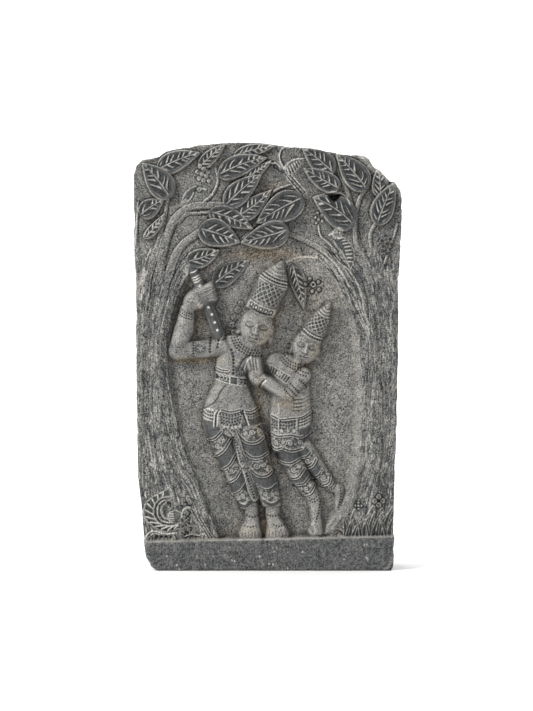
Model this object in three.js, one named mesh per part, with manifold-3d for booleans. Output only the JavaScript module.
// A carved stone relief panel: a crowned couple stands in an arched niche between two trees.
// The whole panel is one block of stone. It is modelled as a carver would set it out: the block,
// its face cut back, the niche sunk, then trees, leaves, birds and figures raised from what is left.
// Millimetres, +Z up. The carved face looks along -Y and the panel stands on its underside.

import * as THREE from "three";
import { mergeVertices } from "three/addons/utils/BufferGeometryUtils.js";
import Module from "manifold-3d";

const wasm = await Module();
wasm.setup();

// Sizes of the block
const PANEL_WIDTH = 378;
const PANEL_HEIGHT = 600;
const PANEL_THICKNESS = 90;

// How far the carving goes back from the face of the foot band
const TREE_SINK = 14;
const NICHE_SINK = 27;

// Heights of what is raised again, above the face that carries it
const LEAF_RISE = 6;
const LEAF_BEVEL = 1.6;
const MIDRIB_RISE = 1.6;
const MIDRIB_WIDTH = 2.4;
const BARK_RISE = 3.2;
const BERRY_RISE = 3;
const BIRD_RISE = 4.5;
const GRASS_RISE = 4;
const HEM_RISE = 1.6;
const BEDDING = 3; // how deep a raised form is bedded in the stone under it
const BED_SHARE = 0.4; // the same for round forms, as a share of the panel's thickness
const FORM_ROUNDNESS = 0.75; // how much of an upright form's height above the floor is rounded

// Depths of the figures above the niche floor
const MAN_RELIEF = 25;
const WOMAN_RELIEF = 22;

// The pit in a leaf near the upper right corner
const PIT_RADIUS = 5;
const PIT_DEPTH = 14;

// The setting-out drawing. Its squares count columns from the left and rows from the top;
// the panel spans these columns and rows, and everything carved is placed by its square.
const FIRST_COLUMN = 133;
const LAST_COLUMN = 403;
const TOP_ROW = 142;
const FOOT_ROW = 571;
const BAND_ROW = 541; // top edge of the plain foot band
const MIDDLE_COLUMN = (FIRST_COLUMN + LAST_COLUMN) / 2;
const SQUARE_WIDE = PANEL_WIDTH / (LAST_COLUMN - FIRST_COLUMN);
const SQUARE_HIGH = PANEL_HEIGHT / (FOOT_ROW - TOP_ROW);
const SQUARE = Math.sqrt(SQUARE_WIDE * SQUARE_HIGH); // for radii and widths given in squares

const TREE_FACE = PANEL_THICKNESS - TREE_SINK;
const NICHE_FLOOR = PANEL_THICKNESS - NICHE_SINK;
const MAN_FRONT = NICHE_FLOOR + MAN_RELIEF;
const WOMAN_FRONT = NICHE_FLOOR + WOMAN_RELIEF;

// Fineness of the facets
const ROUND_SIDES = 8;
const LEAF_STATIONS = 6;
const LEAF_STRIPS = 4;

// While it is carved, the panel lies on its back: x to the right, y up the panel, z out of the stone.
const at = ([column, row]) =>
  new THREE.Vector2((column - MIDDLE_COLUMN) * SQUARE_WIDE, (FOOT_ROW - row) * SQUARE_HIGH);

const along = (squares, count) => new THREE.SplineCurve(squares.map(at)).getPoints(count);

// A closed three.js geometry as a solid that can be joined and cut.
function solid(geometry) {
  const bare = geometry.index ? geometry.toNonIndexed() : geometry.clone();
  bare.deleteAttribute("normal");
  bare.deleteAttribute("uv");
  const merged = mergeVertices(bare, 1e-4);
  return new wasm.Manifold(
    new wasm.Mesh({
      numProp: 3,
      vertProperties: merged.attributes.position.array,
      triVerts: new Uint32Array(merged.index.array),
    }),
  );
}

// A flat plate with the outline of the given points, from height low to height high.
function plate(points, low, high) {
  const made = new THREE.ExtrudeGeometry(new THREE.Shape(points), {
    depth: high - low,
    bevelEnabled: false,
  });
  return solid(made.translate(0, 0, low));
}

// Behind its widest line a raised form drops straight into the stone, as a carver leaves it.
// The form lies along y here, and its front faces +z.
function bedded(made) {
  const points = made.attributes.position;
  for (let i = 0; i < points.count; i += 1) {
    const [x, z] = [points.getX(i), points.getZ(i)];
    if (z > -1e-6) continue;
    const reach = Math.abs(x) < 1e-6 ? 0 : Math.sign(x) * Math.hypot(x, z);
    points.setX(i, reach);
    points.setZ(i, -PANEL_THICKNESS * BED_SHARE);
  }
  return made;
}

// A round limb that tapers from one square to another, with rounded ends. Its front comes to the
// height given for each end, and its back lies in the stone.
function limb(from, to, fromRadius, toRadius, fromFront, toFront = fromFront) {
  const a = at(from);
  const b = at(to);
  const length = a.distanceTo(b);
  const [ra, rb] = [fromRadius * SQUARE, toRadius * SQUARE];
  const profile = [];
  for (const turn of [-1, -0.62, -0.25]) {
    const angle = (turn * Math.PI) / 2;
    profile.push(new THREE.Vector2(ra * Math.cos(angle), ra * Math.sin(angle)));
  }
  for (const turn of [0.25, 0.62, 1]) {
    const angle = (turn * Math.PI) / 2;
    profile.push(new THREE.Vector2(rb * Math.cos(angle), length + rb * Math.sin(angle)));
  }
  profile[0].x = 0;
  profile[profile.length - 1].x = 0;
  const made = bedded(new THREE.LatheGeometry(profile, ROUND_SIDES));
  const shear = new THREE.Matrix4();
  const [za, zb] = [fromFront - ra, toFront - rb];
  shear.elements[6] = (zb - za) / length; // the axis climbs from za to zb
  made.applyMatrix4(shear);
  made.rotateZ(Math.atan2(b.y - a.y, b.x - a.x) - Math.PI / 2);
  return solid(made.translate(a.x, a.y, za));
}

// An egg-shaped mass, turned in the plane of the panel.
function mass(centre, halfWide, halfHigh, front, depth, turn = 0) {
  const c = at(centre);
  const made = new THREE.SphereGeometry(1, ROUND_SIDES + 2, 6);
  made.scale(halfWide * SQUARE, halfHigh * SQUARE, halfWide * SQUARE);
  bedded(made);
  made.scale(1, 1, depth / (halfWide * SQUARE));
  made.rotateZ(THREE.MathUtils.degToRad(turn));
  return solid(made.translate(c.x, c.y, front - depth));
}

// A cord of stone along a curve through the given squares.
function rib(squares, width, height, level) {
  const steps = squares.length;
  const middle = along(squares, steps);
  const path = new THREE.CatmullRomCurve3(middle.map((p) => new THREE.Vector3(p.x, p.y, level)));
  const [w, h] = [width / 2, height];
  const section = new THREE.Shape([
    new THREE.Vector2(-BEDDING, -w),
    new THREE.Vector2(-BEDDING, w),
    new THREE.Vector2(h * 0.5, w * 0.8),
    new THREE.Vector2(h, 0),
    new THREE.Vector2(h * 0.5, -w * 0.8),
  ]);
  return solid(new THREE.ExtrudeGeometry(section, { steps, extrudePath: path, bevelEnabled: false }));
}

// Leaf outlines: round at the base, drawn out to a point at the tip.
const LEAF_ROUND = 0.55;
const LEAF_TAPER = 1.05;
const LEAF_WIDEST = LEAF_ROUND / (LEAF_ROUND + LEAF_TAPER);
const LEAF_PEAK = LEAF_WIDEST ** LEAF_ROUND * (1 - LEAF_WIDEST) ** LEAF_TAPER;
const LEAF_END = 0.5; // half width left at the two ends, in millimetres
const leafHalf = (s) => (s ** LEAF_ROUND * (1 - s) ** LEAF_TAPER) / LEAF_PEAK / 2;

// The leaves, each from its base to its tip, with its width, in squares, and its layer.
const LEAVES = [
  { base: [170, 198], tip: [142, 164], width: 25, layer: 1 },
  { base: [157, 171], tip: [200, 154], width: 20, layer: 0 },
  { base: [140, 215], tip: [164, 200], width: 18, layer: 0 },
  { base: [144, 239], tip: [165, 213], width: 10, layer: 0 },
  { base: [199, 169], tip: [225, 145], width: 13, layer: 0 },
  { base: [219, 175], tip: [272, 157], width: 22, layer: 1 },
  { base: [234, 155], tip: [275, 146], width: 12, layer: 0 },
  { base: [245, 178], tip: [271, 160], width: 9, layer: 0 },
  { base: [225, 206], tip: [262, 176], width: 22, layer: 2 },
  { base: [234, 218], tip: [272, 190], width: 20, layer: 1 },
  { base: [302, 197], tip: [256, 224], width: 30, layer: 2 },
  { base: [208, 213], tip: [253, 230], width: 22, layer: 1 },
  { base: [199, 229], tip: [240, 243], width: 27, layer: 2 },
  { base: [288, 230], tip: [240, 243], width: 26, layer: 2 },
  { base: [187, 262], tip: [219, 250], width: 19, layer: 0 },
  { base: [213, 284], tip: [250, 261], width: 20, layer: -1 },
  { base: [294, 262], tip: [304, 309], width: 16, layer: -1 },
  { base: [334, 173], tip: [302, 148], width: 24, layer: 1 },
  { base: [339, 188], tip: [303, 168], width: 21, layer: 1 },
  { base: [367, 189], tip: [337, 155], width: 26, layer: 1 },
  { base: [352, 223], tip: [313, 197], width: 25, layer: 1 },
  { base: [380, 198], tip: [379, 167], width: 16, layer: 0 },
  { base: [377, 224], tip: [395, 183], width: 23, layer: 1 },
];
const LAYER_STEP = 2.2; // how much higher each layer of leaves lies
const NICHE_LAYER = -1; // leaves carved on the niche floor

// A leaf is a box of stone whose top is worked to a raised midrib, a blade that falls to both
// sides of it and a dropped edge. The box is drawn in to the outline of the leaf along its length.
function leaf({ base, tip, width, layer }) {
  const [a, b] = [at(base), at(tip)];
  const length = a.distanceTo(b);
  const face = layer === NICHE_LAYER ? NICHE_FLOOR : TREE_FACE;
  const level = face + LEAF_RISE + Math.max(layer, 0) * LAYER_STEP;
  const made = new THREE.BoxGeometry(1, 1, 1, LEAF_STATIONS, LEAF_STRIPS, 1);
  const points = made.attributes.position;
  for (let i = 0; i < points.count; i += 1) {
    const s = points.getX(i) + 0.5;
    const across = 2 * points.getY(i); // -1 and 1 at the edges, 0 on the midrib
    const half = Math.max(leafHalf(s) * width * SQUARE, LEAF_END);
    const rib = Math.min(MIDRIB_WIDTH / 2, half / 2);
    const ribTop = MIDRIB_RISE * Math.min(1, half / MIDRIB_WIDTH);
    const inner = Math.abs(across) === 0.5;
    const y = inner ? Math.sign(across) * rib : across * half;
    const top = level + (across === 0 ? ribTop : 0) - (Math.abs(across) === 1 ? LEAF_BEVEL : 0);
    points.setXYZ(i, s * length, y, points.getZ(i) > 0 ? top : face - BEDDING);
  }
  made.rotateZ(Math.atan2(b.y - a.y, b.x - a.x));
  return solid(made.translate(a.x, a.y, 0));
}

// The block's outline as the photograph of the finished panel shows it: its sides draw in towards
// the foot, the top is a low worn arch, and the corners are broken.
const SIDES_AND_TOP = [
  [158, 571], [151, 567], [146, 557], [143.5, 541], [141, 509], [137.5, 480], [136, 420],
  [135, 300], [133.5, 250], [133, 174], [136, 165], [143, 158.5], [154, 156], [163, 151],
  [180, 148], [200, 144.5], [230, 142], [262, 142.5], [282, 145.5], [306, 147.5], [330, 151.5],
  [350, 155], [364, 154], [370, 158], [375, 165], [386, 172], [396, 181], [402, 190],
  [403, 200], [402, 232], [399.5, 280], [399, 360], [397, 440], [395, 490], [394, 541],
  [393, 562], [389, 571],
];

const ARCH = [
  [222, 548], [216, 530], [207, 508], [197, 482], [184, 450], [174, 412], [168, 375], [167, 345],
  [171, 315], [180, 290], [193, 268], [208, 251], [230, 246], [262, 246], [290, 250], [312, 257],
  [328, 270], [343, 289], [353, 310], [360, 335], [363, 375], [363, 420], [360, 458], [353, 490],
  [343, 513], [328, 533], [320, 548],
];

function block() {
  const outline = SIDES_AND_TOP.map(at);
  const whole = plate(outline, 0, PANEL_THICKNESS);
  const bandTop = at([MIDDLE_COLUMN, BAND_ROW]).y;
  const above = new THREE.BoxGeometry(2 * PANEL_WIDTH, 2 * PANEL_HEIGHT, 2 * TREE_SINK);
  above.translate(0, bandTop + PANEL_HEIGHT, PANEL_THICKNESS);
  const arch = along(ARCH, ARCH.length).map((p) => new THREE.Vector2(p.x, Math.max(p.y, bandTop)));
  const niche = plate(arch, NICHE_FLOOR, TREE_FACE + BEDDING);
  return whole.subtract(solid(above)).subtract(niche);
}

// Rounded trunks at both sides and the strands of bark that run up them and out into the roots.
const TRUNKS = [
  { from: [152, 548], to: [150, 285], radii: [13, 10] },
  { from: [182, 548], to: [156, 420], radii: [12, 10] },
  { from: [382, 548], to: [381, 300], radii: [11, 12] },
];
const BARK = [
  { squares: [[142, 455], [141, 400], [144, 340], [141, 285]], width: 3 },
  { squares: [[152, 468], [154, 420], [151, 370], [153, 310]], width: 3.5 },
  { squares: [[163, 440], [158, 400], [160, 340], [164, 300]], width: 3 },
  { squares: [[205, 538], [188, 505], [170, 470], [160, 430]], width: 3.5 },
  { squares: [[190, 538], [176, 515], [163, 490], [155, 455]], width: 3 },
  { squares: [[390, 480], [388, 420], [391, 350], [389, 290]], width: 3 },
  { squares: [[375, 470], [372, 410], [374, 340], [370, 290]], width: 3.5 },
  { squares: [[362, 505], [371, 480], [375, 450], [380, 400]], width: 3 },
  { squares: [[364, 300], [355, 285], [345, 268], [338, 250]], width: 3.5 },
  { squares: [[378, 320], [372, 296], [360, 272], [352, 250]], width: 3.5 },
];

// Boughs and stems, with their widths in squares
const BOUGHS = [
  { squares: [[160, 250], [166, 227], [180, 211], [200, 204], [224, 202]], width: 6 },
  { squares: [[168, 272], [171, 257], [180, 242], [200, 228]], width: 5 },
  { squares: [[366, 186], [361, 205], [358, 225], [356, 248]], width: 5 },
  { squares: [[378, 221], [373, 232], [371, 246]], width: 4 },
  { squares: [[203, 202], [213, 194], [218, 182], [216, 168]], width: 2.4 },
  { squares: [[290, 237], [308, 243], [326, 251], [340, 268]], width: 4 },
  { squares: [[163, 215], [162, 232], [158, 256]], width: 4 },
];

// Round petals and berries: centre, how many, the ring's radius and each one's radius, in squares
const FLOWERS = [
  { centre: [314, 285], count: 5, ring: 5.8, petal: 2.7, face: NICHE_FLOOR },
  { centre: [319, 219], count: 5, ring: 4.6, petal: 2, face: TREE_FACE },
  { centre: [203, 173], count: 6, ring: 5.4, petal: 2.8, face: TREE_FACE },
  { centre: [387, 244], count: 6, ring: 5, petal: 2.6, face: TREE_FACE },
  { centre: [379, 501], count: 4, ring: 4.6, petal: 2.8, face: TREE_FACE },
];

// A small domed boss
function bead(centre, radius, face) {
  const c = at(centre);
  const made = new THREE.ConeGeometry(radius * SQUARE, 2 * BERRY_RISE, 6, 1);
  made.rotateX(Math.PI / 2);
  return solid(made.translate(c.x, c.y, face));
}

function flower({ centre, count, ring, petal, face }) {
  const petals = [bead(centre, petal, face)];
  for (let i = 0; i < count; i += 1) {
    const turn = (2 * Math.PI * i) / count;
    const square = [centre[0] + ring * Math.sin(turn), centre[1] - ring * Math.cos(turn)];
    petals.push(bead(square, petal, face));
  }
  return wasm.Manifold.union(petals);
}

// Small birds among the leaves, and the peacock at the foot of the left tree
function birds() {
  const front = TREE_FACE + BIRD_RISE;
  const small = [
    limb([181, 206], [198, 190], 3.4, 4, front),
    limb([291, 166], [303, 172], 5.5, 4, front),
    limb([281, 169], [276, 166], 2.6, 2.2, front - 1),
    limb([303, 180], [317, 194], 3, 2.2, front - 1),
    limb([345, 240], [356, 256], 4.5, 6, front),
    limb([358, 264], [366, 294], 4, 2.5, front - 1),
  ];
  const tail = rib([[192, 472], [158, 481], [143, 500], [148, 521], [182, 531]], 11 * SQUARE, BIRD_RISE, TREE_FACE);
  const body = limb([170, 520], [186, 515], 7, 4.5, front + 1);
  const neck = limb([187, 517], [189, 508], 3.6, 3, front + 1);
  return [...small, tail, body, neck];
}

// Blades of grass at the foot of the right tree
function grass() {
  const blades = [];
  const first = 346;
  const spacing = 6;
  const count = 8;
  for (let i = 0; i < count; i += 1) {
    const foot = first + i * spacing;
    const lean = i % 2 ? 6 : 3;
    const height = 15 + ((i * 5) % 9) + Math.min(i, 3) * 2;
    blades.push(
      rib([[foot, 542], [foot + 1, 541 - height / 2], [foot + lean, 541 - height]], 3, GRASS_RISE, TREE_FACE),
    );
  }
  return blades;
}

// A headdress: a cone of rounded tiers on a line from the brow to the tip.
function headdress(brow, tip, tiers, front) {
  const [a, b] = [at(brow), at(tip)];
  const length = a.distanceTo(b);
  const profile = [new THREE.Vector2(0, -2)];
  for (const [share, radius] of tiers) profile.push(new THREE.Vector2(radius * SQUARE, share * length));
  profile.push(new THREE.Vector2(0, length));
  const made = bedded(new THREE.LatheGeometry(profile, ROUND_SIDES + 4));
  const widest = Math.max(...tiers.map(([, radius]) => radius)) * SQUARE;
  const flattened = 0.82;
  made.scale(1, 1, flattened);
  made.rotateZ(Math.atan2(b.y - a.y, b.x - a.x) - Math.PI / 2);
  return solid(made.translate(a.x, a.y, front - widest * flattened));
}

// The staff that the left figure holds against his shoulder
function staff() {
  return limb([193, 267], [219, 337], 4.6, 4, MAN_FRONT - 11, MAN_FRONT - 6);
}

// An upright part of a body, worked slice by slice. Each station gives a slice's middle square,
// its half width in squares and the height its front comes to; its back is bedded in the stone.
function form(stations) {
  const steps = stations.length - 1;
  const made = new THREE.CylinderGeometry(1, 1, 1, ROUND_SIDES + 2, steps);
  const points = made.attributes.position;
  for (let i = 0; i < points.count; i += 1) {
    const [column, row, half, front] = stations[Math.round((0.5 - points.getY(i)) * steps)];
    const c = at([column, row]);
    const [x, z] = [points.getX(i), points.getZ(i)];
    const depth = (front - NICHE_FLOOR) * FORM_ROUNDNESS;
    const behind = z < -1e-6;
    const reach = behind && Math.abs(x) > 1e-6 ? Math.sign(x) : x;
    const level = behind ? NICHE_FLOOR - BEDDING : front - depth + depth * z;
    points.setXYZ(i, c.x + half * SQUARE * reach, c.y, level);
  }
  return solid(made);
}

// A leg wrapped in banded cloth: each band widens to its hem and the next starts inside it.
function bandedLeg(joints, bands) {
  const between = (s) => {
    const place = s * (joints.length - 1);
    const first = Math.min(Math.floor(place), joints.length - 2);
    return joints[first].map((value, k) => THREE.MathUtils.lerp(value, joints[first + 1][k], place - first));
  };
  const stations = [];
  for (let i = 0; i < bands; i += 1) {
    stations.push(between(i / bands));
    const [column, row, half, front] = between((i + 0.9) / bands);
    stations.push([column, row, half + HEM_RISE / SQUARE, front + HEM_RISE]);
  }
  stations.push(between(1));
  return form(stations);
}

const MAN_CROWN = [[0, 14.6], [0.1, 15], [0.12, 14], [0.5, 15.6], [0.56, 16.4], [0.66, 15.6], [0.68, 13.4], [0.84, 7], [0.97, 2]];
const WOMAN_CROWN = [[0, 13.6], [0.14, 13.8], [0.17, 12.6], [0.5, 10.4], [0.74, 6], [0.96, 1.6]];

// The man: head bent to his left, right arm raised to the staff, weight on crossed legs.
function man() {
  const f = MAN_FRONT;
  return wasm.Manifold.union([
    headdress([260, 312], [281, 262], MAN_CROWN, f - 1),
    mass([256, 327], 16, 20, f, 16, -15), // face
    limb([258, 320], [255.5, 329], 1.2, 2.2, f + 0.5, f + 2.6), // nose
    mass([254, 335.5], 4, 1.8, f, 4, -15), // lips
    mass([239, 324], 5, 12, f - 7, 12, -12), // hair beside the face
    form([
      [253, 336, 9, f - 7], // neck
      [250, 345, 10, f - 7],
      [241, 348, 21, f - 7], // shoulders
      [237, 358, 22, f - 3],
      [235, 367, 19, f - 2], // chest
      [232, 375, 15.5, f - 4], // waist
      [231.5, 383, 15.5, f - 4],
      [230.5, 393, 20, f - 2],
      [230, 405, 25.5, f], // hips
      [231, 420, 28, f - 1],
      [233, 434, 27, f - 5],
    ]),
    limb([223, 352], [175, 355], 8, 8.4, f - 6, f - 8), // upper arm
    limb([175, 354], [187, 312], 9, 6.8, f - 8, f - 9), // forearm
    mass([195, 299], 9, 11, f - 7, 13, -35), // back of the hand
    limb([196, 291], [211, 287], 4, 2.6, f - 6, f - 8), // fingers, in three rows
    limb([198, 297], [214, 293], 3.6, 2.6, f - 6, f - 8),
    limb([199, 303], [213, 299], 3.6, 2.6, f - 7, f - 9),
    bandedLeg([[218.5, 412, 15.5, f - 2], [230, 456, 14.5, f - 3], [239, 480, 13, f - 4], [253, 516, 10, f - 6]], 7),
    bandedLeg([[242.5, 412, 15.5, f - 1], [256, 456, 15, f - 2], [264, 482, 13.5, f - 3], [273, 516, 10, f - 5]], 7),
    limb([252, 512], [254, 530], 8, 7, f - 9, f - 7), // ankles
    limb([272, 512], [275, 530], 8, 7, f - 9, f - 7),
    mass([251, 532], 12, 7, f - 1, 20), // feet, coming forward over the ledge
    mass([277, 532], 12, 7, f - 1, 20),
  ]);
}

// The woman: she leans on him with both hands on his chest, one leg crossed behind the other.
function woman() {
  const f = WOMAN_FRONT;
  return wasm.Manifold.union([
    headdress([309, 338], [331, 302], WOMAN_CROWN, f - 1),
    mass([305, 349], 13, 15.5, f - 1, 13, -22), // face
    limb([307, 343], [303.5, 350.5], 1, 1.8, f - 0.5, f + 1.4), // nose
    mass([301.5, 356], 3.2, 1.5, f - 2, 4, -22), // lips
    mass([292, 352], 4.5, 8, f - 7, 10, -20), // hair beside the face
    form([
      [299, 357, 7, f - 6], // neck
      [294, 364, 12, f - 6],
      [293, 371, 20, f - 5], // shoulders
      [290, 380, 20, f - 3], // chest
      [291, 392, 18, f - 6], // waist
      [290.5, 402, 20, f - 4],
      [291, 414, 22, f - 1], // hips
      [291, 430, 20.5, f - 1],
      [290, 446, 17, f - 3],
    ]),
    limb([309, 373], [284, 394], 7.4, 6.8, f - 1, f), // upper arm
    limb([284, 394], [261, 375], 6.6, 5, f, f - 1), // forearm
    mass([254, 366], 6.5, 9.5, f + 1, 10, 18), // hand
    bandedLeg([[288, 430, 17, f - 1], [290, 458, 12, f - 2], [301, 477, 10.5, f - 3], [314, 498, 8, f - 6]], 6),
    bandedLeg([[300, 440, 12, f - 6], [313, 460, 10.5, f - 7], [322, 472, 9, f - 8], [335, 490, 7, f - 9]], 4),
    limb([315, 496], [317, 528], 7, 5.4, f - 8, f - 7), // calf and foot in front
    mass([314, 532], 9, 6, f - 4, 14),
    limb([333, 488], [341, 490], 6.4, 6, f - 10), // heel and foot behind
    limb([340, 492], [337, 513], 6, 3.6, f - 10, f - 12),
  ]);
}

// The long sash that falls between the man's legs
function sash() {
  return limb([236, 428], [252, 496], 4.5, 3, MAN_FRONT + 1, MAN_FRONT - 3);
}

function pit() {
  const place = at([332, 198]);
  const drill = new THREE.CylinderGeometry(PIT_RADIUS, PIT_RADIUS * 0.5, PIT_DEPTH, 7);
  drill.rotateX(Math.PI / 2);
  const top = TREE_FACE + LEAF_RISE + 2 * LAYER_STEP;
  return solid(drill.translate(place.x, place.y, top - PIT_DEPTH / 2));
}

function carve() {
  const level = TREE_FACE;
  const raised = [
    ...LEAVES.map(leaf),
    ...TRUNKS.map(({ from, to, radii }) => limb(from, to, radii[0], radii[1], level + BARK_RISE)),
    ...BARK.map(({ squares, width }) => rib(squares, width * SQUARE, BARK_RISE * 1.6, level)),
    ...BOUGHS.map(({ squares, width }) => rib(squares, width * SQUARE, BARK_RISE, level)),
    ...FLOWERS.map(flower),
    ...birds(),
    ...grass(),
    staff(),
    man(),
    sash(),
    woman(),
  ];
  const outline = plate(SIDES_AND_TOP.map(at), 0, PANEL_THICKNESS);
  const carving = wasm.Manifold.union(raised).intersect(outline);
  return block().add(carving).subtract(pit());
}

// The solid as a three.js geometry
function geometryOf(made) {
  const { vertProperties, triVerts } = made.getMesh();
  const geometry = new THREE.BufferGeometry();
  geometry.setAttribute("position", new THREE.BufferAttribute(vertProperties, 3));
  geometry.setIndex(new THREE.BufferAttribute(triVerts, 1));
  geometry.computeVertexNormals();
  return geometry;
}

const stone = new THREE.MeshStandardMaterial({ color: 0x85837d, roughness: 0.85, metalness: 0 });
const panel = new THREE.Mesh(geometryOf(carve()), stone);
panel.name = "relief_panel";
panel.rotation.x = Math.PI / 2;
panel.position.y = PANEL_THICKNESS / 2;

const root = new THREE.Group();
root.add(panel);
export default root;
